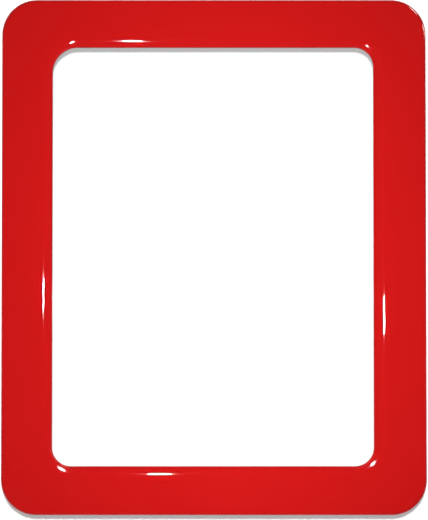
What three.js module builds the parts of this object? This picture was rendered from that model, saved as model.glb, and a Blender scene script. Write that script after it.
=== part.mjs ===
// Magnetic document pocket: a moulded gloss frame round a clear pocket for one letter-size sheet,
// held to a steel board by four flexible magnet strips in the back of its rails.
// Millimetres. It lies on its magnets: +Z out of the front, +Y to the sheet's top edge, and the
// origin in the middle of the plane that the magnets touch.
import * as THREE from "three";

// The sheet of paper sets the window, and the window and rails set the frame
const paperWidth = 215.9;
const paperHeight = 279.4;
const paperOverlap = 3.15;

// Front face: nearly flat rails, a soft crease, and a bevel that is wider on the left and right
const faceWidth = 27.1;
const bevelAcross = 6.6;
const bevelDown = 4.35;
const frameCornerRadius = 23;
const creaseCornerRadius = 23;
const creaseReach = 1.6;
const creaseShareOfBevel = 0.3;

// The trimmed window sits a little left of and above the middle, with one larger corner
const windowCornerRadius = 12.5;
const windowTopLeftRadius = 16.5;
const windowShiftX = -0.5;
const windowShiftY = 0.3;

// Depths and walls of the moulding
const frameDepth = 4.3;
const edgeDrop = 0.35;
const bevelDrop = 1.9;
const outerFillet = 1.8;
const skirtDraft = 0.1;
const skirtWall = 1.5;
const faceWall = 1.35;
const lipThickness = 0.8;
const lipRounding = 0.3;
const lipLand = 2.2;
const ribWall = 1.4;
const coreSlope = 3.6;
const coreDraft = 0.2;

// Pocket: two clear sheets with strips of tape between them on three sides
const paperClearance = 0.8;
const pocketTapeWidth = 4.5;
const pocketTapeInset = 0.55;
const pocketGap = 0.5;
const sheetThickness = 0.3;
const sheetToRibFace = 0.5;
const sheetCornerRadius = 6;
const mouthOverlap = 3.3;
const notchWidth = 30;
const notchDepth = 4.8;

// Magnet strips, one width all round, and the foam tape that holds them
const magnetProud = 0.3;
const magnetThickness = 1.6;
const magnetEdgeRounding = 0.35;
const magnetToSkirt = 0.7;
const magnetToRib = 0.45;
const magnetGap = 1.7;
const foamInset = 0.5;

// Facets
const cornerSteps = 12;
const filletSteps = 6;
const crownSteps = 4;
const creaseSteps = 6;
const roundingSteps = 2;
const notchSteps = 10;

// Sizes across, worked outwards from the paper
const windowWidth = paperWidth - 2 * paperOverlap;
const windowHeight = paperHeight - 2 * paperOverlap;
const frameWidth = windowWidth + 2 * (bevelAcross + faceWidth);
const frameHeight = windowHeight + 2 * (bevelDown + faceWidth);
const sheetReach = paperOverlap + paperClearance + pocketTapeWidth + pocketTapeInset;
const ribReach = sheetReach + sheetToRibFace;
const channelInset = skirtWall + 2 * skirtDraft;
const channelReach = ribReach + skirtDraft;
const narrowRail = faceWidth + Math.min(bevelAcross, bevelDown);
const magnetWidth = narrowRail - channelInset - channelReach - magnetToSkirt - magnetToRib;

// Heights above the plane that the magnets touch
const rimZ = magnetProud;
const crestZ = rimZ + frameDepth;
const faceEdgeZ = crestZ - edgeDrop;
const lipTopZ = crestZ - bevelDrop;
const seatZ = lipTopZ - lipThickness;
const channelZ = faceEdgeZ - faceWall;
const coreZ = crestZ - faceWall;

const gloss = new THREE.MeshStandardMaterial({ color: 0xcf1a1a, roughness: 0.08, metalness: 0 });
const clear = new THREE.MeshStandardMaterial({
  color: 0xf4f7f8,
  roughness: 0.05,
  metalness: 0,
  transparent: true,
  opacity: 0.15,
});
const clearTape = new THREE.MeshStandardMaterial({ color: 0xe6e6df, roughness: 0.5, metalness: 0 });
const magnetRubber = new THREE.MeshStandardMaterial({ color: 0x3a2f2b, roughness: 0.75, metalness: 0 });
const whiteFoam = new THREE.MeshStandardMaterial({ color: 0xeeeeea, roughness: 0.9, metalness: 0 });

// A rounded rectangle at one height. Corner radii run anticlockwise from the top right.
function outline(width, height, radii, z, centreX = 0, centreY = 0) {
  return { halfX: width / 2, halfY: height / 2, radii, z, centreX, centreY };
}

function frameOutline(inset, z) {
  const radii = Array(4).fill(frameCornerRadius - inset);
  return outline(frameWidth - 2 * inset, frameHeight - 2 * inset, radii, z);
}

function creaseOutline(z) {
  const radii = Array(4).fill(creaseCornerRadius);
  return outline(frameWidth - 2 * faceWidth, frameHeight - 2 * faceWidth, radii, z);
}

// The trimmed edge of the window, grown outwards by reach
function windowOutline(reach, z) {
  const usual = windowCornerRadius + reach;
  const radii = [usual, windowTopLeftRadius + reach, usual, usual];
  return outline(windowWidth + 2 * reach, windowHeight + 2 * reach, radii, z, windowShiftX, windowShiftY);
}

// The moulded ring behind the window's edge, which stays in the middle of the frame
function seatOutline(reach, z) {
  const radii = Array(4).fill(windowCornerRadius + reach);
  return outline(windowWidth + 2 * reach, windowHeight + 2 * reach, radii, z);
}

function blend(a, b, share) {
  const between = (p, q) => p + (q - p) * share;
  return {
    halfX: between(a.halfX, b.halfX),
    halfY: between(a.halfY, b.halfY),
    radii: a.radii.map((radius, k) => between(radius, b.radii[k])),
    z: between(a.z, b.z),
    centreX: between(a.centreX, b.centreX),
    centreY: between(a.centreY, b.centreY),
  };
}

function outlinePoints({ halfX, halfY, radii, z, centreX, centreY }) {
  const signs = [[1, 1], [-1, 1], [-1, -1], [1, -1]];
  return signs.flatMap(([signX, signY], corner) => {
    const radius = radii[corner];
    const arcX = centreX + signX * (halfX - radius);
    const arcY = centreY + signY * (halfY - radius);
    return Array.from({ length: cornerSteps + 1 }, (_, step) => {
      const angle = (corner + step / cornerSteps) * (Math.PI / 2);
      return new THREE.Vector3(arcX + radius * Math.cos(angle), arcY + radius * Math.sin(angle), z);
    });
  });
}

// A closed ring skinned through outlines that run once round its section
function ringGeometry(outlines) {
  const loops = outlines.map(outlinePoints);
  const around = loops[0].length;
  const index = [];
  loops.forEach((_, i) => {
    const here = i * around;
    const next = ((i + 1) % loops.length) * around;
    for (let j = 0; j < around; j += 1) {
      const k = (j + 1) % around;
      index.push(here + j, here + k, next + k);
      index.push(here + j, next + k, next + j);
    }
  });
  const geometry = new THREE.BufferGeometry().setFromPoints(loops.flat());
  geometry.setIndex(index);
  geometry.computeVertexNormals();
  return geometry;
}

function filletOutlines() {
  return Array.from({ length: filletSteps + 1 }, (_, step) => {
    const angle = (step / filletSteps) * (Math.PI / 2);
    const inset = skirtDraft + outerFillet * (1 - Math.cos(angle));
    return frameOutline(inset, faceEdgeZ - outerFillet * (1 - Math.sin(angle)));
  });
}

// The face rises slightly from the outer edge to the crest, flattening as it goes
function crownOutlines(faceEdge, faceEnd) {
  return Array.from({ length: crownSteps }, (_, step) => {
    const share = (step + 1) / crownSteps;
    return { ...blend(faceEdge, faceEnd, share), z: crestZ - edgeDrop * (1 - share) ** 2 };
  });
}

// The soft crease, a curve that leaves the face flat and meets the bevel at its own slope
function creaseOutlines(faceEnd, crease, bevelStart) {
  return Array.from({ length: creaseSteps }, (_, step) => {
    const share = (step + 1) / creaseSteps;
    return blend(blend(faceEnd, crease, share), blend(crease, bevelStart, share), share);
  });
}

function lipOutlines() {
  const rounded = Array.from({ length: roundingSteps + 1 }, (_, step) => {
    const angle = (step / roundingSteps) * (Math.PI / 2);
    const reach = lipRounding * (1 - Math.sin(angle));
    return windowOutline(reach, lipTopZ - lipRounding * (1 - Math.cos(angle)));
  });
  return [...rounded, windowOutline(0, seatZ)];
}

// Round the back: the lip's land, the cored underside of the bevel, the rib and the magnet channel
function backOutlines() {
  const ribInner = ribReach - ribWall;
  return [
    seatOutline(lipLand, seatZ),
    seatOutline(lipLand + coreSlope, coreZ),
    seatOutline(ribInner - coreDraft, coreZ),
    seatOutline(ribInner, seatZ),
    seatOutline(ribReach, seatZ),
    seatOutline(channelReach, channelZ),
    frameOutline(channelInset, channelZ),
    frameOutline(skirtWall, rimZ),
  ];
}

function frontFrame() {
  const fillet = filletOutlines();
  const faceEdge = fillet[fillet.length - 1];
  const crease = creaseOutline(crestZ);
  const windowEdge = windowOutline(lipRounding, lipTopZ);
  const reachShare = creaseReach / (faceWidth - skirtDraft - outerFillet);
  const faceEnd = { ...blend(crease, faceEdge, reachShare), z: crestZ };
  const bevelStart = blend(crease, windowEdge, creaseShareOfBevel);
  const section = [
    frameOutline(0, rimZ),
    ...fillet,
    ...crownOutlines(faceEdge, faceEnd),
    ...creaseOutlines(faceEnd, crease, bevelStart),
    ...lipOutlines(),
    ...backOutlines(),
  ];
  const mesh = new THREE.Mesh(ringGeometry(section), gloss);
  mesh.name = "front_frame";
  return mesh;
}

// The pocket's sheets reach past the tape, and end just short of the rib's outer wall
const sheetHalfX = windowWidth / 2 + sheetReach;
const sheetHalfY = windowHeight / 2 + sheetReach;
const mouthY = paperHeight / 2 + mouthOverlap;
const backSheetZ = seatZ - sheetThickness - pocketGap - sheetThickness;

function sheet(name, topY, notched, z) {
  const shape = new THREE.Shape();
  const r = sheetCornerRadius;
  shape.moveTo(-sheetHalfX + r, -sheetHalfY);
  shape.lineTo(sheetHalfX - r, -sheetHalfY);
  shape.absarc(sheetHalfX - r, -sheetHalfY + r, r, -Math.PI / 2, 0, false);
  shape.absarc(sheetHalfX - r, topY - r, r, 0, Math.PI / 2, false);
  if (notched) cutNotch(shape, topY);
  shape.absarc(-sheetHalfX + r, topY - r, r, Math.PI / 2, Math.PI, false);
  shape.absarc(-sheetHalfX + r, -sheetHalfY + r, r, Math.PI, Math.PI * 1.5, false);
  const geometry = new THREE.ExtrudeGeometry(shape, {
    depth: sheetThickness,
    bevelEnabled: false,
    curveSegments: notchSteps,
  });
  const mesh = new THREE.Mesh(geometry, clear);
  mesh.name = name;
  mesh.position.z = z;
  return mesh;
}

// A shallow thumb notch in the middle of the pocket's mouth
function cutNotch(shape, topY) {
  const radius = (notchWidth ** 2 / 4 + notchDepth ** 2) / (2 * notchDepth);
  const half = Math.asin(notchWidth / 2 / radius);
  const centreY = topY - notchDepth + radius;
  shape.absarc(0, centreY, radius, -Math.PI / 2 + half, -Math.PI / 2 - half, true);
}

// A straight strip along X whose section is a rectangle with rounded lower edges
function stripGeometry(length, width, thickness, rounding) {
  const section = new THREE.Shape();
  const half = width / 2;
  section.moveTo(-half, thickness);
  if (rounding > 0) {
    section.lineTo(-half, rounding);
    section.absarc(-half + rounding, rounding, rounding, Math.PI, Math.PI * 1.5, false);
    section.absarc(half - rounding, rounding, rounding, Math.PI * 1.5, Math.PI * 2, false);
  } else {
    section.lineTo(-half, 0);
    section.lineTo(half, 0);
  }
  section.lineTo(half, thickness);
  section.closePath();
  const geometry = new THREE.ExtrudeGeometry(section, {
    depth: length,
    bevelEnabled: false,
    curveSegments: 3,
  });
  // Section X and Y become the part's Y and Z, and the extrusion runs along X
  geometry.translate(0, 0, -length / 2);
  const turn = new THREE.Matrix4().makeBasis(
    new THREE.Vector3(0, 1, 0),
    new THREE.Vector3(0, 0, 1),
    new THREE.Vector3(1, 0, 0),
  );
  geometry.applyMatrix4(turn);
  return geometry;
}

function strip(name, geometry, material, x, y, z, upright) {
  const mesh = new THREE.Mesh(geometry, material);
  mesh.name = name;
  mesh.position.set(x, y, z);
  if (upright) mesh.rotation.z = Math.PI / 2;
  return mesh;
}

// Strips of double-sided tape that join the two sheets and leave the pocket open at the top
function pocketTapes() {
  const tapeZ = backSheetZ + sheetThickness;
  const sideX = paperWidth / 2 + paperClearance + pocketTapeWidth / 2;
  const bottomY = -(paperHeight / 2 + paperClearance + pocketTapeWidth / 2);
  const sideTop = mouthY - sheetCornerRadius;
  const sideBottom = bottomY + pocketTapeWidth / 2;
  const sideLength = sideTop - sideBottom;
  const bottomLength = 2 * (sheetHalfX - sheetCornerRadius);
  const side = stripGeometry(sideLength, pocketTapeWidth, pocketGap, 0);
  const bottom = stripGeometry(bottomLength, pocketTapeWidth, pocketGap, 0);
  const sideY = (sideTop + sideBottom) / 2;
  return [
    strip("pocket_tape_left", side, clearTape, -sideX, sideY, tapeZ, true),
    strip("pocket_tape_right", side, clearTape, sideX, sideY, tapeZ, true),
    strip("pocket_tape_bottom", bottom, clearTape, 0, bottomY, tapeZ, false),
  ];
}

// Four magnet strips in the channel behind the rails, each on its own length of foam tape
function magnets() {
  const channelX = frameWidth / 2 - channelInset;
  const channelY = frameHeight / 2 - channelInset;
  const railY = channelY - magnetToSkirt - magnetWidth / 2;
  const railX = channelX - magnetToSkirt - magnetWidth / 2;
  const cornerRadius = frameCornerRadius - channelInset;
  // A square strip end stops where the channel's round corner comes in
  const cornerRise = cornerRadius - magnetToSkirt;
  const cornerRun = Math.sqrt(cornerRadius ** 2 - cornerRise ** 2);
  const acrossLength = 2 * (channelX - cornerRadius + cornerRun - magnetToSkirt);
  const downLength = 2 * (railY - magnetWidth / 2 - magnetGap);
  const foamThickness = channelZ - magnetThickness;
  const foamWidth = magnetWidth - 2 * foamInset;
  const places = [
    { side: "top", length: acrossLength, x: 0, y: railY, upright: false },
    { side: "bottom", length: acrossLength, x: 0, y: -railY, upright: false },
    { side: "left", length: downLength, x: -railX, y: 0, upright: true },
    { side: "right", length: downLength, x: railX, y: 0, upright: true },
  ];
  return places.flatMap(({ side, length, x, y, upright }) => {
    const bar = stripGeometry(length, magnetWidth, magnetThickness, magnetEdgeRounding);
    const foam = stripGeometry(length - 2 * foamInset, foamWidth, foamThickness, 0);
    return [
      strip(`magnet_strip_${side}`, bar, magnetRubber, x, y, 0, upright),
      strip(`foam_tape_${side}`, foam, whiteFoam, x, y, magnetThickness, upright),
    ];
  });
}

const pocket = new THREE.Group();
pocket.add(frontFrame());
pocket.add(sheet("window_sheet", sheetHalfY, false, seatZ - sheetThickness));
pocket.add(sheet("back_sheet", mouthY, true, backSheetZ));
pocket.add(...pocketTapes());
pocket.add(...magnets());

export default pocket;
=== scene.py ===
"""Dresses the magnetic document pocket and sets the studio that it is seen in.

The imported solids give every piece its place. The frame and the magnet strips are modelled finely
here, and each surface gets its finish. Lengths are millimetres in the classes that model a piece or
describe a finish, and metres everywhere else.
"""

import logging
import math
from collections.abc import Callable, Sequence
from dataclasses import dataclass, field, replace
from enum import Enum

import bmesh
import bpy
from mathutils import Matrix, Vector


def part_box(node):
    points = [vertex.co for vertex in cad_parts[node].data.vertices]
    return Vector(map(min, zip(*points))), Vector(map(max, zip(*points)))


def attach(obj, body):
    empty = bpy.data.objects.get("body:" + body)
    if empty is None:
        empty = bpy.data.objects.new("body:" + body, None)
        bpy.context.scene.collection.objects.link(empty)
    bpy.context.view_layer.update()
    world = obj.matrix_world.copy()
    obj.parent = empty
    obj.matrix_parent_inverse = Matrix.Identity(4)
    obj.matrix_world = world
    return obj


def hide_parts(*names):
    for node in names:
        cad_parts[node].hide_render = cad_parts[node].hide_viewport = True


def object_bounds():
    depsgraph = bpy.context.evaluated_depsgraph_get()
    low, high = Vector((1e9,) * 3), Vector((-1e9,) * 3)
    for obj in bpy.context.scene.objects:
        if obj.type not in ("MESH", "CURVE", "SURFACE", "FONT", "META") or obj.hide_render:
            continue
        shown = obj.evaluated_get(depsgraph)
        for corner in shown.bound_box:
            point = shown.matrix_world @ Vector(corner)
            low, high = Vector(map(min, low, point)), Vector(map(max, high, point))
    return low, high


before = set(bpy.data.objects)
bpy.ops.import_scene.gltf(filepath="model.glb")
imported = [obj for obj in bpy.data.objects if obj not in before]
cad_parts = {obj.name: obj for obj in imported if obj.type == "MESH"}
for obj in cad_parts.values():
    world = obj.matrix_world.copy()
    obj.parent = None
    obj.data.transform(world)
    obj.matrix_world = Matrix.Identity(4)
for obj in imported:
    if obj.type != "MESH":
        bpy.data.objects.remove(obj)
CAD_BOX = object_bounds()

MM = 0.001
# Vertices nearer than this are in one place
TOUCH = 0.01 * MM
# How softly the cells of a relief run into each other
CELL_SOFTNESS = 0.35
BODY = "root"
log = logging.getLogger("document_pocket")


# Tools for modelling in edit mode


def deselect_all() -> None:
    """Deselects every object, so that an operator acts only on what comes next."""
    bpy.ops.object.select_all(action="DESELECT")


def activate(piece: bpy.types.Object) -> None:
    """Makes a piece the only selected one and the active one.

    Args:
        piece: The object to select.
    """
    deselect_all()
    piece.select_set(True)
    bpy.context.view_layer.objects.active = piece


def select(
    piece: bpy.types.Object, kind: str, chosen: Callable[[bmesh.types.BMVert | bmesh.types.BMEdge], bool]
) -> int:
    """Selects the vertices or edges of a piece in edit mode that a rule picks, and nothing else.

    Args:
        piece: The mesh object that is in edit mode.
        kind: What to select, VERT or EDGE.
        chosen: Says of a vertex or an edge whether it is wanted.

    Returns:
        How many are selected.
    """
    bpy.ops.mesh.select_all(action="DESELECT")
    bpy.ops.mesh.select_mode(type=kind)
    mesh = bmesh.from_edit_mesh(piece.data)
    found = [part for part in (mesh.verts if kind == "VERT" else mesh.edges) if chosen(part)]
    for part in found:
        part.select_set(True)
    if kind == "VERT":
        mesh.select_flush(True)
    bmesh.update_edit_mesh(piece.data)
    return len(found)


@dataclass(frozen=True)
class Outline:
    """A rounded rectangle at one height, in millimetres.

    The radii run anticlockwise from the top right corner. Painted shade is 1 on the steep edges and round
    the back, where it darkens the plastic, and 0 on the face, and it rises a little down the bevel.
    """

    half_x: float
    half_y: float
    radii: tuple[float, float, float, float]
    z: float
    centre_x: float = 0.0
    centre_y: float = 0.0
    # How much painted shade darkens the red along this outline
    tone: float = 0.0

    def corners(self, level: float) -> list[Vector]:
        """The corners before they are rounded, anticlockwise from the top right.

        Args:
            level: The height to give them, in metres.

        Returns:
            The four corners, in metres.
        """
        signs = ((1, 1), (-1, 1), (-1, -1), (1, -1))
        across = [(self.centre_x + x * self.half_x) * MM for x, _ in signs]
        along = [(self.centre_y + y * self.half_y) * MM for _, y in signs]
        return [Vector((x, y, level)) for x, y in zip(across, along)]

    def gap(self, other: "Outline") -> float:
        """How far another outline is from this one, across the section on the right side."""
        return math.hypot(other.half_x - self.half_x, other.z - self.z)

    def mix(self, second: "Outline", third: "Outline", shares: tuple[float, float, float]) -> "Outline":
        """Blends three outlines.

        Args:
            second: The outline that takes the second share.
            third: The outline that takes the third share.
            shares: What each of the three counts for. They add up to 1.

        Returns:
            The blended outline.
        """

        def blended(*values: float) -> float:
            """The three values, each times its share."""
            return sum(value * share for value, share in zip(values, shares))

        return Outline(
            half_x=blended(self.half_x, second.half_x, third.half_x),
            half_y=blended(self.half_y, second.half_y, third.half_y),
            radii=tuple(blended(*radii) for radii in zip(self.radii, second.radii, third.radii)),
            z=blended(self.z, second.z, third.z),
            centre_x=blended(self.centre_x, second.centre_x, third.centre_x),
            centre_y=blended(self.centre_y, second.centre_y, third.centre_y),
            tone=blended(self.tone, second.tone, third.tone),
        )

    def towards(self, other: "Outline", share: float) -> "Outline":
        """The outline that lies a share of the way to another one."""
        return self.mix(other, other, (1 - share, share, 0))


def bend(start: Outline, control: Outline, end: Outline, steps: int) -> list[Outline]:
    """Outlines round a bend of the section, a true arc where both legs are alike.

    Args:
        start: Where the bend leaves the first leg.
        control: Where the two legs would meet.
        end: Where the bend joins the second leg.
        steps: How many facets the bend has.

    Returns:
        The outlines from start to end.
    """
    first = math.atan2(control.z - start.z, control.half_x - start.half_x)
    second = math.atan2(end.z - control.z, end.half_x - control.half_x)
    weight = abs(math.cos((second - first) / 2))
    outlines = []
    for step in range(steps + 1):
        t = step / steps
        parts = ((1 - t) ** 2, 2 * weight * t * (1 - t), t * t)
        shares = tuple(part / sum(parts) for part in parts)
        outlines.append(start.mix(control, end, shares))
    return outlines


def soften(before: Outline, corner: Outline, after: Outline, reach: float, steps: int) -> list[Outline]:
    """Rounds a corner of the section over the same reach on both of its legs.

    Args:
        before: The section's point before the corner.
        corner: The corner.
        after: The section's point after the corner.
        reach: How much of each leg the rounding takes, in millimetres.
        steps: How many facets the rounding has.

    Returns:
        The outlines round the corner.
    """
    start = corner.towards(before, reach / corner.gap(before))
    end = corner.towards(after, reach / corner.gap(after))
    return bend(start, corner, end, steps)


@dataclass
class Ring:
    """A closed ring of skin, bridged from one rounded rectangle to the next round its section.

    The outlines are bridged as a tall stack and then let down to their heights, because a bridge
    between two outlines in one plane can turn inside out.
    """

    name: str
    corner_facets: int = 20
    side_facets: int = 12
    long_edge: float = 20.0
    stack_step: float = 20.0

    def level(self, number: int) -> float:
        """The height of an outline in the stack, in metres."""
        return (number + 1) * self.stack_step * MM

    def build(self, outlines: Sequence[Outline]) -> bpy.types.Object:
        """Models the ring.

        Args:
            outlines: The outlines once round the section, without a repeat at the end.

        Returns:
            The new mesh object, with its painted shade attribute.
        """
        deselect_all()
        bpy.ops.mesh.primitive_plane_add(size=MM)
        ring = bpy.context.object
        ring.name = ring.data.name = self.name
        bpy.ops.object.mode_set(mode="EDIT")
        bpy.ops.mesh.delete(type="VERT")
        for number, outline in enumerate(outlines):
            self.add_outline(ring, outline, self.level(number))
        for number in range(len(outlines)):
            self.bridge(ring, self.level(number), self.level((number + 1) % len(outlines)))
        bpy.ops.object.mode_set(mode="OBJECT")
        self.add_painted_shade(ring.data, outlines)
        bpy.ops.object.mode_set(mode="EDIT")
        for number, outline in enumerate(outlines):
            level = self.level(number)
            select(ring, "VERT", lambda v: self.on_level(v, level))
            bpy.ops.transform.translate(value=(0, 0, outline.z * MM - level))
        bpy.ops.mesh.select_all(action="SELECT")
        bpy.ops.mesh.normals_make_consistent(inside=False)
        bpy.ops.object.mode_set(mode="OBJECT")
        return ring

    def add_painted_shade(self, mesh: bpy.types.Mesh, outlines: Sequence[Outline]) -> None:
        """Gives each vertex of the stack its outline's painted shade.

        Args:
            mesh: The mesh, still stacked.
            outlines: The outlines, in the order of the stack.
        """
        numbers = [round(vert.co.z / self.stack_step / MM) - 1 for vert in mesh.vertices]
        tone = mesh.attributes.new("tone", "FLOAT", "POINT")
        tone.data.foreach_set("value", [outlines[number].tone for number in numbers])

    def add_outline(self, ring: bpy.types.Object, outline: Outline, level: float) -> None:
        """Adds one rounded rectangle of edges to the mesh in edit mode.

        Args:
            ring: The object in edit mode.
            outline: What to add.
            level: The height to add it at, in metres.
        """
        place = Vector((outline.centre_x * MM, outline.centre_y * MM, level))
        bpy.ops.mesh.select_all(action="DESELECT")
        bpy.ops.mesh.primitive_plane_add(size=2 * MM, location=place)
        stretch = (outline.half_x, outline.half_y, 1)
        bpy.ops.transform.resize(value=stretch, center_override=place)
        for corner, radius in zip(outline.corners(level), outline.radii):
            select(ring, "VERT", lambda v: (v.co - corner).length < TOUCH)
            bpy.ops.mesh.bevel(
                affect="VERTICES",
                offset_type="OFFSET",
                offset=radius * MM,
                segments=self.corner_facets,
                profile=0.5,
                clamp_overlap=False,
            )
        select(ring, "VERT", lambda v: self.on_level(v, level))
        bpy.ops.mesh.delete(type="ONLY_FACE")
        long_edge = self.long_edge * MM
        sides = select(ring, "EDGE", lambda e: self.along(e, level) and e.calc_length() > long_edge)
        if sides != 4:
            raise ValueError(f"the outline at level {level} has {sides} straight sides")
        bpy.ops.mesh.subdivide(number_cuts=self.side_facets - 1)

    def on_level(self, vert: bmesh.types.BMVert, level: float) -> bool:
        """Whether a vertex of the stack belongs to the outline at a level."""
        return abs(vert.co.z - level) < MM

    def along(self, edge: bmesh.types.BMEdge, level: float) -> bool:
        """Whether an edge of the stack lies along the outline at a level."""
        return all(self.on_level(vert, level) for vert in edge.verts)

    def bridge(self, ring: bpy.types.Object, lower: float, upper: float) -> None:
        """Bridges two outlines of the stack.

        Args:
            ring: The object in edit mode.
            lower: The level of the one outline.
            upper: The level of the other outline.
        """
        select(ring, "EDGE", lambda e: self.along(e, lower) or self.along(e, upper))
        bpy.ops.mesh.bridge_edge_loops()


# Node groups that more than one finish uses, and the finishes


class Tree:
    """A node tree under construction, with short ways to add nodes, values and links."""

    def __init__(self, tree: bpy.types.NodeTree) -> None:
        """Takes the tree and clears what it holds."""
        self.tree = tree
        tree.nodes.clear()

    def node(self, kind: str, **settings: object) -> bpy.types.Node:
        """Adds a node.

        Args:
            kind: The node's type.
            settings: Properties of the node, such as an operation.

        Returns:
            The node.
        """
        made = self.tree.nodes.new(kind)
        for name, value in settings.items():
            setattr(made, name, value)
        return made

    def feed(self, node: bpy.types.Node, **values: object) -> bpy.types.Node:
        """Gives inputs a value or a link.

        Args:
            node: The node to feed.
            values: An input's name, with spaces as underscores, or its number as _0, and what it gets.

        Returns:
            The same node.
        """
        for name, value in values.items():
            key = int(name[1:]) if name.startswith("_") else name.replace("_", " ")
            if isinstance(value, bpy.types.NodeSocket):
                self.tree.links.new(value, node.inputs[key])
            else:
                node.inputs[key].default_value = value
        return node

    def math(self, operation: str, first: object, second: object = 0.0) -> bpy.types.NodeSocket:
        """A Math node's result, each operand a value or a socket."""
        return self.feed(self.node("ShaderNodeMath", operation=operation), _0=first, _1=second).outputs[0]

    def spread(self, value: object, low: float, high: float) -> bpy.types.NodeSocket:
        """A value from 0 to 1, spread over another range."""
        return self.feed(self.node("ShaderNodeMapRange"), Value=value, To_Min=low, To_Max=high).outputs[0]


class Relief(Enum):
    """Kinds of fine surface relief that a node group draws."""

    GRAIN = "surface_grain"
    CELLS = "surface_cells"


def relief_group(kind: Relief) -> bpy.types.NodeTree:
    """The shared node group that draws a relief, made once.

    Args:
        kind: Which relief it draws.

    Returns:
        The group. It takes a vector, a size in metres and a detail, and gives a mask from 0 to 1.
    """
    if kind.value in bpy.data.node_groups:
        return bpy.data.node_groups[kind.value]
    group = bpy.data.node_groups.new(kind.value, "ShaderNodeTree")
    face = group.interface
    face.new_socket("Vector", in_out="INPUT", socket_type="NodeSocketVector")
    for name, value in (("Size", MM), ("Detail", 2.0)):
        socket = face.new_socket(name, in_out="INPUT", socket_type="NodeSocketFloat")
        socket.default_value = value
    face.new_socket("Mask", in_out="OUTPUT", socket_type="NodeSocketFloat")
    build = Tree(group)
    entry = build.node("NodeGroupInput")
    scale = build.math("DIVIDE", 1.0, entry.outputs["Size"])
    if kind is Relief.GRAIN:
        texture, result = build.node("ShaderNodeTexNoise"), "Fac"
    else:
        texture, result = build.node("ShaderNodeTexVoronoi", feature="SMOOTH_F1"), "Distance"
        build.feed(texture, Smoothness=CELL_SOFTNESS)
    build.feed(texture, Vector=entry.outputs["Vector"], Scale=scale, Detail=entry.outputs["Detail"])
    build.feed(build.node("NodeGroupOutput"), Mask=texture.outputs[result])
    return group


class Surface(Tree):
    """One material: a Principled surface whose pattern stands still on the piece."""

    def __init__(self, name: str) -> None:
        """Starts the material with its shader, output and object coordinates.

        Args:
            name: The material's name.
        """
        self.material = bpy.data.materials.new(name)
        self.material.use_nodes = True
        super().__init__(self.material.node_tree)
        self.shader = self.node("ShaderNodeBsdfPrincipled")
        output = self.node("ShaderNodeOutputMaterial")
        self.feed(output, Surface=self.shader.outputs["BSDF"])
        self.place = self.node("ShaderNodeTexCoord").outputs["Object"]

    def relief(
        self, kind: Relief, size: float, detail: float = 2.0, vector: object = None
    ) -> bpy.types.NodeSocket:
        """A relief mask on this material.

        Args:
            kind: Which relief.
            size: The size of its marks, in millimetres.
            detail: How many finer layers it has.
            vector: Where to read it, if not straight from the object's coordinates.

        Returns:
            The mask, from 0 to 1.
        """
        group = self.node("ShaderNodeGroup", node_tree=relief_group(kind))
        self.feed(group, Vector=vector or self.place, Size=size * MM, Detail=detail)
        return group.outputs["Mask"]

    def stretched(self, scale: tuple[float, float, float]) -> bpy.types.NodeSocket:
        """Object coordinates, stretched so that a pattern runs along the piece."""
        mapping = self.feed(self.node("ShaderNodeMapping"), Vector=self.place, Scale=scale)
        return mapping.outputs[0]

    def tint(self, mask: object, dark: Sequence[float], light: Sequence[float]) -> bpy.types.NodeSocket:
        """A colour that runs from dark to light as a mask runs from 0 to 1.

        Args:
            mask: The socket with the mask.
            dark: The colour where the mask is 0.
            light: The colour where the mask is 1.

        Returns:
            The colour.
        """
        mixer = self.node("ShaderNodeMix", data_type="RGBA")
        # The two colours are inputs 6 and 7 of this node, and their mix is output 2
        return self.feed(mixer, _0=mask, _6=(*dark, 1), _7=(*light, 1)).outputs[2]

    def bump(self, height: object) -> None:
        """Raises the surface by a height in millimetres."""
        node = self.feed(self.node("ShaderNodeBump"), Height=height, Distance=MM, Strength=1.0)
        self.feed(self.shader, Normal=node.outputs[0])


def scaled(colour: Sequence[float], factor: float) -> tuple[float, ...]:
    """A colour made lighter or darker."""
    return tuple(channel * factor for channel in colour)


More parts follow.
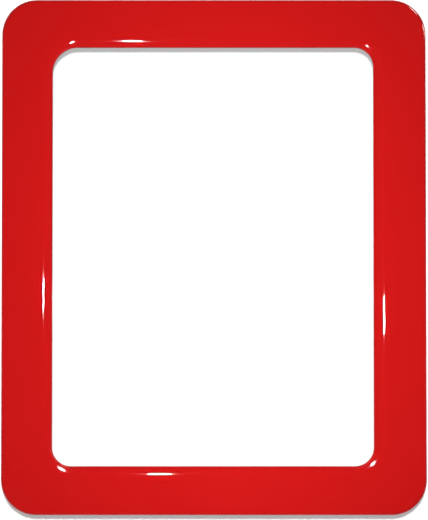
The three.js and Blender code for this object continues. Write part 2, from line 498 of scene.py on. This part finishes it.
@dataclass(frozen=True)
class GlossPlastic:
    """The frame's deep red moulded plastic, polished in front and satin behind.

    Sizes and heights are in millimetres. The moulding is out of flat by a slight twist, and by a bow
    on its right side, which only the reflections show.
    """

    name: str = "gloss_red_plastic"
    colour: tuple[float, float, float] = (0.645, 0.0074, 0.0073)
    # How dark the red gets under the painted shade on steep edges, and in the faint clouds
    shade_and_cloud_depth: float = 0.72
    cloud_size: float = 30.0
    cloud_depth: float = 0.14
    smudge_size: float = 9.0
    polish: tuple[float, float] = (0.018, 0.032)
    back_roughness: float = 0.42
    back_facing: float = -0.2
    refraction: float = 1.5
    twist_per_mm: float = -6.4e-5
    bow_per_mm: float = 2.4e-4
    wave_size: float = 35.0
    wave_height: float = 0.012
    sparkle_size: float = 1.0
    sparkle_height: float = 0.0035

    def material(self) -> bpy.types.Material:
        """Builds the material.

        Returns:
            The material.
        """
        surface = Surface(self.name)
        self.paint_shade_and_clouds(surface)
        self.polish_up(surface)
        surface.bump(surface.math("ADD", self.warp(surface), self.ripple(surface)))
        return surface.material

    def paint_shade_and_clouds(self, surface: Surface) -> None:
        """Darkens the red with painted shade on the steep edges and round the back, and deepens it in
        faint clouds.

        Args:
            surface: The material under construction.
        """
        # The painted shade that the frame's outlines carry, 1 on the steep edges and round the back
        tone = surface.node("ShaderNodeAttribute", attribute_name="tone").outputs["Fac"]
        clouds = surface.relief(Relief.GRAIN, self.cloud_size, detail=3.0)
        # Painted shade and random clouds together darken the red
        shade_and_clouds = surface.math("ADD", surface.math("MULTIPLY", clouds, self.cloud_depth), tone)
        shade_and_cloud_red = scaled(self.colour, self.shade_and_cloud_depth)
        surface.feed(surface.shader, Base_Color=surface.tint(shade_and_clouds, self.colour, shade_and_cloud_red))

    def polish_up(self, surface: Surface) -> None:
        """Polishes the front, with faint smudges, and leaves the back satin.

        Args:
            surface: The material under construction.
        """
        normal = surface.node("ShaderNodeNewGeometry").outputs["Normal"]
        height = surface.feed(surface.node("ShaderNodeSeparateXYZ"), Vector=normal).outputs["Z"]
        behind = surface.math("LESS_THAN", height, self.back_facing)
        smudges = surface.relief(Relief.GRAIN, self.smudge_size, detail=4.0)
        front = surface.spread(smudges, *self.polish)
        extra = surface.math("MULTIPLY", behind, self.back_roughness)
        roughness = surface.math("ADD", front, extra)
        surface.feed(surface.shader, Roughness=roughness, IOR=self.refraction)

    def warp(self, surface: Surface) -> bpy.types.NodeSocket:
        """How far the moulding is out of flat, from object coordinates in metres.

        Args:
            surface: The material under construction.

        Returns:
            The height, in millimetres.
        """
        axes = surface.feed(surface.node("ShaderNodeSeparateXYZ"), Vector=surface.place)
        twist = surface.math("MULTIPLY", axes.outputs["X"], axes.outputs["Y"])
        twist = surface.math("MULTIPLY", twist, self.twist_per_mm / MM / MM)
        bow = surface.math("POWER", surface.math("MAXIMUM", axes.outputs["X"]), 2.0)
        bow = surface.math("MULTIPLY", bow, self.bow_per_mm / MM / MM)
        return surface.math("ADD", twist, bow)

    def ripple(self, surface: Surface) -> bpy.types.NodeSocket:
        """The long waves and the fine orange peel of the polish.

        Args:
            surface: The material under construction.

        Returns:
            The height, in millimetres.
        """
        waves = surface.relief(Relief.GRAIN, self.wave_size, detail=1.0)
        waves = surface.math("MULTIPLY", waves, self.wave_height)
        sparkle = surface.relief(Relief.GRAIN, self.sparkle_size, detail=1.0)
        sparkle = surface.math("MULTIPLY", sparkle, self.sparkle_height)
        return surface.math("ADD", waves, sparkle)


@dataclass(frozen=True)
class ClearFilm:
    """The pocket's clear sheets, with the faint haze and ripple of calendered film."""

    name: str = "clear_film"
    colour: tuple[float, float, float] = (0.9, 0.9, 0.9)
    alpha: float = 0.055
    refraction: float = 1.54
    haze_size: float = 14.0
    haze_shade: float = 0.96
    roughness: tuple[float, float] = (0.03, 0.1)
    ripple_size: float = 45.0
    ripple_height: float = 0.01

    def material(self) -> bpy.types.Material:
        """Builds the material.

        Returns:
            The material.
        """
        surface = Surface(self.name)
        haze = surface.relief(Relief.GRAIN, self.haze_size, detail=4.0)
        surface.feed(
            surface.shader,
            Base_Color=surface.tint(haze, scaled(self.colour, self.haze_shade), self.colour),
            Roughness=surface.spread(haze, *self.roughness),
            IOR=self.refraction,
            Alpha=self.alpha,
        )
        ripple = surface.relief(Relief.GRAIN, self.ripple_size, detail=1.0)
        surface.bump(surface.math("MULTIPLY", ripple, self.ripple_height))
        return surface.material


@dataclass(frozen=True)
class CellTape:
    """A tape full of fine cells or bubbles, which shade it and lift its surface."""

    name: str
    colour: tuple[float, float, float]
    alpha: float
    cell_size: float
    cell_shade: float
    cell_height: float
    roughness: tuple[float, float]

    def material(self) -> bpy.types.Material:
        """Builds the material.

        Returns:
            The material.
        """
        surface = Surface(self.name)
        cells = surface.relief(Relief.CELLS, self.cell_size, detail=1.0)
        surface.feed(
            surface.shader,
            Base_Color=surface.tint(cells, scaled(self.colour, self.cell_shade), self.colour),
            Roughness=surface.spread(cells, *self.roughness),
            Alpha=self.alpha,
        )
        surface.bump(surface.math("MULTIPLY", cells, self.cell_height))
        return surface.material


# The cloudy double-sided tape between the two sheets
FILM_TAPE = CellTape(
    name="cloudy_film_tape",
    colour=(0.8, 0.8, 0.75),
    alpha=0.55,
    cell_size=1.6,
    cell_shade=0.93,
    cell_height=0.02,
    roughness=(0.35, 0.6),
)
# The closed-cell foam tape that the magnets are stuck down with
WHITE_FOAM = CellTape(
    name="white_foam_tape",
    colour=(0.84, 0.84, 0.8),
    alpha=1.0,
    cell_size=0.45,
    cell_shade=0.78,
    cell_height=0.12,
    roughness=(0.75, 0.95),
)


class Run(Enum):
    """Which way a strip runs, and how its extrusion lines are stretched."""

    ACROSS = (0.012, 1.0, 1.0)
    DOWN = (1.0, 0.012, 1.0)


@dataclass(frozen=True)
class MagnetRubber:
    """Ferrite-filled rubber: nearly black, matt, with fine extrusion lines and a mineral speckle."""

    run: Run
    colour: tuple[float, float, float] = (0.03, 0.022, 0.019)
    shades: tuple[float, float] = (0.6, 1.7)
    line_size: float = 0.7
    line_height: float = 0.05
    speckle_size: float = 0.35
    speckle_height: float = 0.02
    dust_size: float = 22.0
    roughness: tuple[float, float] = (0.55, 0.82)

    def material(self) -> bpy.types.Material:
        """Builds the material.

        Returns:
            The material.
        """
        surface = Surface(f"magnet_rubber_{self.run.name.lower()}")
        along = surface.stretched(self.run.value)
        lines = surface.relief(Relief.GRAIN, self.line_size, detail=3.0, vector=along)
        speckle = surface.relief(Relief.GRAIN, self.speckle_size, detail=2.0)
        dust = surface.relief(Relief.GRAIN, self.dust_size, detail=4.0)
        pattern = surface.math("MULTIPLY", surface.math("ADD", lines, speckle), 0.5)
        dark, light = (scaled(self.colour, shade) for shade in self.shades)
        surface.feed(
            surface.shader,
            Base_Color=surface.tint(pattern, dark, light),
            Roughness=surface.spread(dust, *self.roughness),
        )
        lines = surface.math("MULTIPLY", lines, self.line_height)
        speckle = surface.math("MULTIPLY", speckle, self.speckle_height)
        surface.bump(surface.math("ADD", lines, speckle))
        return surface.material


# The pieces


def dress(piece: bpy.types.Object, material: bpy.types.Material) -> None:
    """Gives a piece one material all over."""
    piece.data.materials.clear()
    piece.data.materials.append(material)


def dress_node(node: str, material: bpy.types.Material) -> None:
    """Gives a carried-over solid one material all over, and reports it.

    Args:
        node: The solid's name in the frame.
        material: Its finish.
    """
    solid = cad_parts[node]
    for slot in solid.material_slots:
        slot.material = material
    log.info("%s keeps its solid, in %s", node, material.name)


def settle(piece: bpy.types.Object, slot: str, *nodes: str) -> None:
    """Fits a finished piece into the part.

    Args:
        piece: The finished piece.
        slot: The record's material slot that it takes its finish from. Not used.
        nodes: The solids that it stands for.
    """
    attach(piece, BODY)
    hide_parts(*nodes)
    triangles = sum(len(face.vertices) - 2 for face in piece.data.polygons)
    log.info("%s stands for %s, with %d triangles", piece.name, ", ".join(nodes), triangles)


@dataclass
class FrontFrame:
    """The gloss moulding round the window, in millimetres."""

    node: str = "front_frame"
    finish: GlossPlastic = field(default_factory=GlossPlastic)
    window_half_x: float = 104.65
    window_half_y: float = 136.4
    window_shift: tuple[float, float] = (-0.6, 0.15)
    window_radii: tuple[float, float, float, float] = (12.5, 16.5, 12.5, 12.5)
    seat_radius: float = 12.5
    corner_radius: float = 23.0
    # The crease runs this far inside the left side, the right side, and the top and bottom
    crease_insets: tuple[float, float, float] = (29.6, 29.3, 28.4)
    crease_radii: tuple[float, float, float, float] = (20.0, 23.0, 23.0, 23.0)
    crease_reach: float = 2.6
    bevel_share: float = 0.65
    # How much painted shade the foot of the bevel gets, by the window's edge
    bevel_painted_shade: float = 0.4
    bend_facets: int = 12
    crown_shares: tuple[float, ...] = (0.12, 0.25, 0.4, 0.55, 0.7, 0.85)
    bevel_shares: tuple[float, ...] = (0.3, 0.6)
    edge_drop: float = 0.35
    bevel_drop: float = 1.9
    outer_fillet: float = 1.8
    skirt_draft: float = 0.1
    skirt_wall: float = 1.5
    face_wall: float = 1.35
    lip_thickness: float = 0.8
    lip_rounding: float = 0.3
    seat_rounding: float = 0.08
    lip_land: float = 2.2
    core_slope: float = 3.6
    core_draft: float = 0.2
    rib_reach: float = 9.5
    rib_wall: float = 1.4
    rib_rounding: float = 0.12
    land_rounding: float = 0.15
    core_roundings: tuple[float, float] = (0.5, 0.4)
    channel_rounding: float = 0.35
    rim_rounding: float = 0.2
    smooth_angle: float = 50.0

    def __post_init__(self) -> None:
        """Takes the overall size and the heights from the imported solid."""
        low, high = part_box(self.node)
        self.half_x = high.x / MM
        self.half_y = high.y / MM
        self.rim = low.z / MM
        self.crest = high.z / MM
        self.face_edge = self.crest - self.edge_drop
        self.lip_top = self.crest - self.bevel_drop
        self.seat = self.lip_top - self.lip_thickness
        self.channel = self.face_edge - self.face_wall
        self.core = self.crest - self.face_wall

    def outer(self, inset: float, z: float) -> Outline:
        """An outline inside the frame's own, by an inset."""
        radii = (self.corner_radius - inset,) * 4
        # Outlines outside the face carry full painted shade
        return Outline(self.half_x - inset, self.half_y - inset, radii, z, tone=1.0)

    def crease(self, z: float) -> Outline:
        """The outline where the face and the bevel would meet.

        Args:
            z: Its height.

        Returns:
            The outline.
        """
        left, right, ends = self.crease_insets
        half_x = self.half_x - (left + right) / 2
        return Outline(half_x, self.half_y - ends, self.crease_radii, z, centre_x=(left - right) / 2)

    def window(self, reach: float, z: float) -> Outline:
        """An outline outside the window's edge.

        Args:
            reach: How far outside it is.
            z: Its height.

        Returns:
            The outline.
        """
        radii = tuple(radius + reach for radius in self.window_radii)
        half_x, half_y = self.window_half_x + reach, self.window_half_y + reach
        # The window's edge carries full painted shade
        return Outline(half_x, half_y, radii, z, *self.window_shift, tone=1.0)

    def back(self, reach: float, z: float) -> Outline:
        """An outline behind the window's edge, in the middle of the frame."""
        radii = (self.seat_radius + reach,) * 4
        # The back carries full painted shade
        return Outline(self.window_half_x + reach, self.window_half_y + reach, radii, z, tone=1.0)

    def face(self) -> list[Outline]:
        """The outer fillet, the crowned face, the crease and the bevel.

        Returns:
            The outlines, from the outer edge inwards.
        """
        rim = self.outer(0, self.rim)
        edge = self.outer(self.skirt_draft, self.face_edge)
        crease = self.crease(self.crest)
        facets = self.bend_facets
        fillet = soften(rim, edge, crease, self.outer_fillet, facets)
        # The painted shade fades over the fillet, from the rim to the face
        fillet = [replace(line, tone=1 - number / facets) for number, line in enumerate(fillet)]
        face_span = crease.gap(fillet[-1])
        face_end = crease.towards(fillet[-1], self.crease_reach / face_span)
        face_end = replace(face_end, z=self.crest)
        crown = []
        for share in self.crown_shares:
            flat = fillet[-1].towards(face_end, share)
            crown.append(replace(flat, z=self.crest - self.edge_drop * (1 - share) ** 2))
        # The foot of the bevel takes part of the painted shade
        bevel_end = replace(self.window(self.lip_rounding, self.lip_top), tone=self.bevel_painted_shade)
        bevel_start = crease.towards(bevel_end, self.bevel_share)
        bevel = [bevel_start.towards(bevel_end, share) for share in self.bevel_shares]
        return [*fillet, *crown, *bend(face_end, crease, bevel_start, facets), *bevel]

    def behind(self) -> list[Outline]:
        """The window's lip, the cored bevel, the rib, the magnet channel and the rim.

        Returns:
            The outlines, from the window's edge round the back to the outer edge.
        """
        inner_rib = self.rib_reach - self.rib_wall
        core_start, core_end = self.core_roundings
        # Each corner of the section, with its rounding and how many facets that has
        corners = [
            (self.window(0, self.lip_top), self.lip_rounding, 5),
            (self.window(0, self.seat), self.seat_rounding, 2),
            (self.back(self.lip_land, self.seat), self.land_rounding, 2),
            (self.back(self.lip_land + self.core_slope, self.core), core_start, 4),
            (self.back(inner_rib - self.core_draft, self.core), core_end, 3),
            (self.back(inner_rib, self.seat), self.rib_rounding, 2),
            (self.back(self.rib_reach, self.seat), self.rib_rounding, 2),
            (self.back(self.rib_reach + self.skirt_draft, self.channel), self.channel_rounding, 3),
            (self.outer(self.skirt_wall + 2 * self.skirt_draft, self.channel), self.channel_rounding, 3),
            (self.outer(self.skirt_wall, self.rim), self.rim_rounding, 3),
            (self.outer(0, self.rim), self.rim_rounding, 3),
        ]
        first, last = self.crease(self.crest), self.outer(0, self.face_edge)
        places = [first, *(corner for corner, _, _ in corners), last]
        outlines = []
        for index, (corner, reach, steps) in enumerate(corners):
            outlines += soften(places[index], corner, places[index + 2], reach, steps)
        return outlines

    def build(self) -> bpy.types.Object:
        """Models, finishes and settles the frame.

        Returns:
            The frame.
        """
        ring = Ring("gloss_frame").build([*self.face(), *self.behind()])
        activate(ring)
        bpy.ops.object.shade_smooth_by_angle(angle=math.radians(self.smooth_angle))
        dress(ring, self.finish.material())
        settle(ring, "gloss_frame", self.node)
        return ring


@dataclass
class MagnetStrip:
    """One flexible magnet strip, in millimetres: slit edges, a flat back and shallow grooves."""

    side: str
    run: Run
    groove_pitch: float = 2.4
    groove_half: float = 0.22
    groove_depth: float = 0.07
    groove_margin: float = 1.0
    edge_rounding: float = 0.3
    rounding_facets: int = 4
    smooth_angle: float = 35.0

    def build(self, material: bpy.types.Material) -> bpy.types.Object:
        """Models, finishes and settles the strip.

        Args:
            material: Its finish.

        Returns:
            The strip.
        """
        node = f"magnet_strip_{self.side}"
        low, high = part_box(node)
        middle, size = (low + high) / 2, high - low
        deselect_all()
        bpy.ops.mesh.primitive_cube_add(size=1, location=middle)
        strip = bpy.context.object
        strip.name = strip.data.name = f"magnet_{self.side}"
        bpy.ops.transform.resize(value=size)
        bpy.ops.object.transform_apply(location=True, rotation=True, scale=True)
        bpy.ops.object.mode_set(mode="EDIT")
        self.round_edges(strip, low.z)
        self.cut_grooves(strip, middle, size, low.z)
        bpy.ops.object.mode_set(mode="OBJECT")
        bpy.ops.object.shade_smooth_by_angle(angle=math.radians(self.smooth_angle))
        dress(strip, material)
        settle(strip, "magnet_rubber", node)
        return strip

    def across(self) -> int:
        """The axis that runs across the strip: Y for one that runs across, X for one that runs down."""
        return 1 if self.run is Run.ACROSS else 0

    def round_edges(self, strip: bpy.types.Object, base: float) -> None:
        """Rounds the edges of the back face.

        Args:
            strip: The strip, in edit mode.
            base: The height of the back face.
        """
        select(strip, "EDGE", lambda e: all(abs(v.co.z - base) < TOUCH for v in e.verts))
        bpy.ops.mesh.bevel(
            affect="EDGES",
            offset=self.edge_rounding * MM,
            segments=self.rounding_facets,
            profile=0.5,
        )

    def cut_grooves(self, strip: bpy.types.Object, middle: Vector, size: Vector, base: float) -> None:
        """Cuts the shallow grooves along the back face.

        Args:
            strip: The strip, in edit mode.
            middle: The middle of the strip.
            size: The size of the strip.
            base: The height of the back face.
        """
        axis = self.across()
        normal = Vector((0, 0, 0))
        normal[axis] = 1
        count = int((size[axis] / MM / 2 - self.groove_margin) / self.groove_pitch)
        for place in range(-count, count + 1):
            groove = middle[axis] + place * self.groove_pitch * MM
            for offset in (-self.groove_half, 0, self.groove_half):
                point = middle.copy()
                point[axis] = groove + offset * MM
                bpy.ops.mesh.select_all(action="SELECT")
                bpy.ops.mesh.bisect(plane_co=point, plane_no=normal)
            select(strip, "VERT", lambda v: abs(v.co[axis] - groove) < TOUCH and v.co.z < base + TOUCH)
            bpy.ops.transform.translate(value=(0, 0, self.groove_depth * MM))


@dataclass
class Pocket:
    """The two clear sheets and the tape between them, which keep their solids."""

    sheets: tuple[str, ...] = ("window_sheet", "back_sheet")
    tapes: tuple[str, ...] = ("pocket_tape_left", "pocket_tape_right", "pocket_tape_bottom")

    def build(self) -> None:
        """Dresses the sheets and the tapes."""
        film = ClearFilm().material()
        for sheet in self.sheets:
            dress_node(sheet, film)
        tape_finish = FILM_TAPE.material()
        for tape in self.tapes:
            dress_node(tape, tape_finish)


@dataclass
class Magnets:
    """The four magnet strips and the foam tape behind them."""

    runs: tuple[tuple[str, Run], ...] = (
        ("top", Run.ACROSS),
        ("bottom", Run.ACROSS),
        ("left", Run.DOWN),
        ("right", Run.DOWN),
    )

    def build(self) -> None:
        """Models the strips and dresses the foam."""
        rubber = {run: MagnetRubber(run).material() for run in Run}
        foam = WHITE_FOAM.material()
        for side, run in self.runs:
            MagnetStrip(side, run).build(rubber[run])
            dress_node(f"foam_tape_{side}", foam)


# The studio


@dataclass(frozen=True)
class Photograph:
    """How the photograph frames the part: its size, and the part's middle and width in it, in pixels."""

    width: int = 428
    height: int = 520
    middle: tuple[float, float] = (213.9, 256.6)
    part_width: float = 425.9

    def scale(self) -> float:
        """Metres of the part to a pixel."""
        low, high = CAD_BOX
        return (high.x - low.x) / self.part_width

    def point(self, x: float, y: float) -> Vector:
        """Where a pixel of the photograph lies on the part's plane, in metres."""
        return Vector((x - self.middle[0], self.middle[1] - y, 0)) * self.scale()


@dataclass(frozen=True)
class StreakCard:
    """A bright card low to the side that shows only as a streak in one corner's fillet."""

    name: str
    azimuth: float
    width: float
    height: float = 0.12
    off_zenith: float = 51.0
    distance: float = 0.4
    radiance: float = 25.0
    cone: float = 12.0
    corner: tuple[float, float] = (0.125, 0.155)

    def build(self) -> bpy.types.Object:
        """Adds the card, facing the corner.

        Returns:
            The card.
        """
        turn, lean = math.radians(self.azimuth), math.radians(self.off_zenith)
        away = Vector((math.sin(lean) * math.sin(turn), math.sin(lean) * math.cos(turn), math.cos(lean)))
        place = Vector((*self.corner, 0)) + away * self.distance
        facing = away.to_track_quat("Z", "Y").to_euler()
        deselect_all()
        bpy.ops.mesh.primitive_plane_add(size=1, location=place, rotation=facing)
        card = bpy.context.object
        card.name = self.name
        card.scale = (self.width, self.height, 1)
        card.visible_camera = card.visible_shadow = False
        dress(card, self.material())
        return card

    def material(self) -> bpy.types.Material:
        """A light that only reflections show, in a narrow cone, as through a honeycomb grid.

        Returns:
            The material.
        """
        material = bpy.data.materials.new(self.name)
        material.use_nodes = True
        tree = Tree(material.node_tree)
        mirrored = tree.node("ShaderNodeLightPath").outputs["Is Glossy Ray"]
        geometry = tree.node("ShaderNodeNewGeometry")
        angle = tree.node("ShaderNodeVectorMath", operation="DOT_PRODUCT")
        tree.feed(angle, _0=geometry.outputs["Normal"], _1=geometry.outputs["Incoming"])
        straight = tree.math("ABSOLUTE", angle.outputs["Value"])
        inside = tree.math("GREATER_THAN", straight, math.cos(math.radians(self.cone)))
        strength = tree.math("MULTIPLY", tree.math("MULTIPLY", mirrored, inside), self.radiance)
        glow = tree.feed(tree.node("ShaderNodeEmission"), Strength=strength)
        tree.feed(tree.node("ShaderNodeOutputMaterial"), Surface=glow.outputs[0])
        return material


@dataclass
class Studio:
    """Floor, lamps, world and camera."""

    photo: Photograph = field(default_factory=Photograph)
    camera_height: float = 1.0
    # The photograph's keystone: the camera stands a little towards the bottom edge
    camera_lean: float = 0.0215
    sensor: float = 36.0
    flash_size: tuple[float, float] = (0.025, 0.041)
    flash_pixel: tuple[float, float] = (78.5, 316.0)
    flash_level: float = 0.5
    # A long lamp close over the part, which is what the photograph's falloff asks for
    fill_size: tuple[float, float] = (0.075, 0.4)
    fill_place: tuple[float, float, float] = (0.012, -0.01, 0.24)
    fill_level: float = 0.878
    streaks: tuple[StreakCard, ...] = (
        StreakCard("streak_top", 35.0, 0.072),
        StreakCard("streak_side", 69.0, 0.088),
    )
    near_clip: float = 0.01
    # How bright the world is, by height from the horizon to overhead
    sky: tuple[tuple[float, float], ...] = ((0.0, 0.55), (0.3, 0.26), (0.6, 0.1), (0.85, 0.06))
    floor_size: float = 8.0
    floor_gap: float = 0.1 * MM
    floor_colour: tuple[float, float, float] = (0.86, 0.86, 0.86)
    floor_glow: float = 0.33
    shadow_elevation: float = 45.5
    shadow_level: float = 1.1
    shadow_softness: float = 16.0

    def build(self) -> None:
        """Builds the studio round the part."""
        scene = bpy.context.scene
        scene.view_settings.view_transform = "Standard"
        self.world(scene)
        floor = self.floor()
        self.camera(scene)
        self.flash(floor)
        self.fill(floor)
        self.shadow_lamp(floor)
        for streak in self.streaks:
            streak.build()
        log.info("studio ready, with the camera %.2f m above the part", self.camera_height)

    def camera(self, scene: bpy.types.Scene) -> None:
        """Adds the camera above the part, framed as the photograph is.

        Args:
            scene: The scene that takes it.
        """
        photo = self.photo
        target = photo.point(photo.width / 2, photo.height / 2)
        target.z = CAD_BOX[1].z
        deselect_all()
        place = target + Vector((0, -self.camera_lean, self.camera_height))
        bpy.ops.object.camera_add(location=place)
        camera = bpy.context.object
        camera.name = "camera"
        camera.rotation_euler = (target - place).to_track_quat("-Z", "Y").to_euler()
        camera.data.sensor_width = self.sensor
        distance = (target - place).length
        camera.data.lens = self.sensor * distance / (photo.height * photo.scale())
        camera.data.clip_start = self.near_clip
        scene.camera = camera

    def floor(self) -> bpy.types.Object:
        """Adds the pale floor.

        Returns:
            The floor.
        """
        deselect_all()
        bpy.ops.mesh.primitive_plane_add(size=self.floor_size, location=(0, 0, -self.floor_gap))
        floor = bpy.context.object
        floor.name = "floor"
        dress(floor, self.floor_material())
        return floor

    def floor_material(self) -> bpy.types.Material:
        """A matt white floor that glows slightly to the eye, and isn't there from below.

        Returns:
            The material.
        """
        material = bpy.data.materials.new("studio_floor")
        material.use_nodes = True
        tree = Tree(material.node_tree)
        matt = tree.feed(tree.node("ShaderNodeBsdfDiffuse"), Color=(*self.floor_colour, 1))
        ray = tree.node("ShaderNodeLightPath")
        seen = tree.math("MAXIMUM", ray.outputs["Is Camera Ray"], ray.outputs["Is Glossy Ray"])
        seen = tree.math("MAXIMUM", seen, ray.outputs["Is Transmission Ray"])
        strength = tree.math("MULTIPLY", seen, self.floor_glow)
        glow = tree.feed(tree.node("ShaderNodeEmission"), Strength=strength)
        both = tree.feed(tree.node("ShaderNodeAddShader"), _0=matt.outputs[0], _1=glow.outputs[0])
        clear = tree.node("ShaderNodeBsdfTransparent")
        below = tree.node("ShaderNodeNewGeometry").outputs["Backfacing"]
        mixer = tree.node("ShaderNodeMixShader")
        tree.feed(mixer, _0=below, _1=both.outputs[0], _2=clear.outputs[0])
        tree.feed(tree.node("ShaderNodeOutputMaterial"), Surface=mixer.outputs[0])
        return material

    def world(self, scene: bpy.types.Scene) -> None:
        """Sets a world that is white at the horizon and dark overhead, and white to the eye.

        Args:
            scene: The scene that takes it.
        """
        world = bpy.data.worlds.new("studio_world")
        world.use_nodes = True
        scene.world = world
        tree = Tree(world.node_tree)
        direction = tree.node("ShaderNodeTexCoord").outputs["Generated"]
        up = tree.feed(tree.node("ShaderNodeSeparateXYZ"), Vector=direction).outputs["Z"]
        ramp = tree.feed(tree.node("ShaderNodeValToRGB"), Fac=up)
        elements = ramp.color_ramp.elements
        for index, (height, level) in enumerate(self.sky):
            element = elements[index] if index < 2 else elements.new(height)
            element.position = height
            element.color = (level, level, level, 1)
        dim = tree.feed(tree.node("ShaderNodeBackground"), Color=ramp.outputs["Color"], Strength=1.0)
        white = tree.feed(tree.node("ShaderNodeBackground"), Color=(1, 1, 1, 1), Strength=1.0)
        ray = tree.node("ShaderNodeLightPath")
        seen = tree.math("MAXIMUM", ray.outputs["Is Camera Ray"], ray.outputs["Is Transmission Ray"])
        mixer = tree.node("ShaderNodeMixShader")
        tree.feed(mixer, _0=seen, _1=dim.outputs[0], _2=white.outputs[0])
        tree.feed(tree.node("ShaderNodeOutputWorld"), Surface=mixer.outputs[0])

    def lamp(self, name: str, kind: str, place: Vector, target: Vector) -> bpy.types.Object:
        """Adds a lamp.

        Args:
            name: Its name.
            kind: Its type, such as AREA.
            place: Where it stands.
            target: What it points at.

        Returns:
            The lamp.
        """
        deselect_all()
        bpy.ops.object.light_add(type=kind, location=place)
        lamp = bpy.context.object
        lamp.name = name
        lamp.rotation_euler = (target - place).to_track_quat("-Z", "Y").to_euler()
        return lamp

    def link(self, lamp: bpy.types.Object, floor: bpy.types.Object, alone: bool) -> None:
        """Makes a lamp light the floor alone, or all but the floor.

        Args:
            lamp: The lamp.
            floor: The floor.
            alone: Whether the lamp lights the floor alone.
        """
        group = bpy.data.collections.new(f"{lamp.name}_link")
        group.objects.link(floor)
        if not alone:
            group.collection_objects[0].light_linking.link_state = "EXCLUDE"
        lamp.light_linking.receiver_collection = group

    def flash(self, floor: bpy.types.Object) -> None:
        """Adds the small flash beside the camera, whose image lies along the crease.

        Args:
            floor: The floor, which only the shadow lamp lights.
        """
        place = self.photo.point(*self.flash_pixel) + Vector((0, 0, self.camera_height))
        lamp = self.lamp("flash", "AREA", place, Vector((place.x, place.y, 0)))
        lamp.data.shape = "RECTANGLE"
        lamp.data.size, lamp.data.size_y = self.flash_size
        lamp.data.energy = self.flash_level * math.pi ** 2 * self.camera_height ** 2
        self.link(lamp, floor, alone=False)

    def fill(self, floor: bpy.types.Object) -> None:
        """Adds the fill over the part, which leaves no reflection and stays out of the picture.

        Args:
            floor: The floor, which only the shadow lamp lights.
        """
        place = Vector(self.fill_place)
        lamp = self.lamp("fill", "AREA", place, Vector((place.x, place.y, 0)))
        lamp.data.shape = "RECTANGLE"
        lamp.data.size, lamp.data.size_y = self.fill_size
        lamp.data.energy = self.fill_level * math.pi ** 2 * place.z ** 2
        lamp.visible_camera = lamp.visible_glossy = False
        self.link(lamp, floor, alone=False)

    def shadow_lamp(self, floor: bpy.types.Object) -> None:
        """Adds the lamp that throws the frame's narrow shadow on the floor, towards the bottom.

        Args:
            floor: The floor, which only the shadow lamp lights.
        """
        slope = math.radians(self.shadow_elevation)
        place = Vector((0, math.cos(slope), math.sin(slope)))
        lamp = self.lamp("shadow_lamp", "SUN", place, Vector((0, 0, 0)))
        lamp.data.angle = math.radians(self.shadow_softness)
        lamp.data.energy = self.shadow_level * math.pi / math.sin(slope)
        self.link(lamp, floor, alone=True)


def main() -> None:
    """Builds the part's pieces in order, then the studio."""
    logging.basicConfig(level=logging.INFO, format="%(message)s")
    FrontFrame().build()
    Pocket().build()
    Magnets().build()
    Studio().build()


if __name__ == "__main__":
    main()
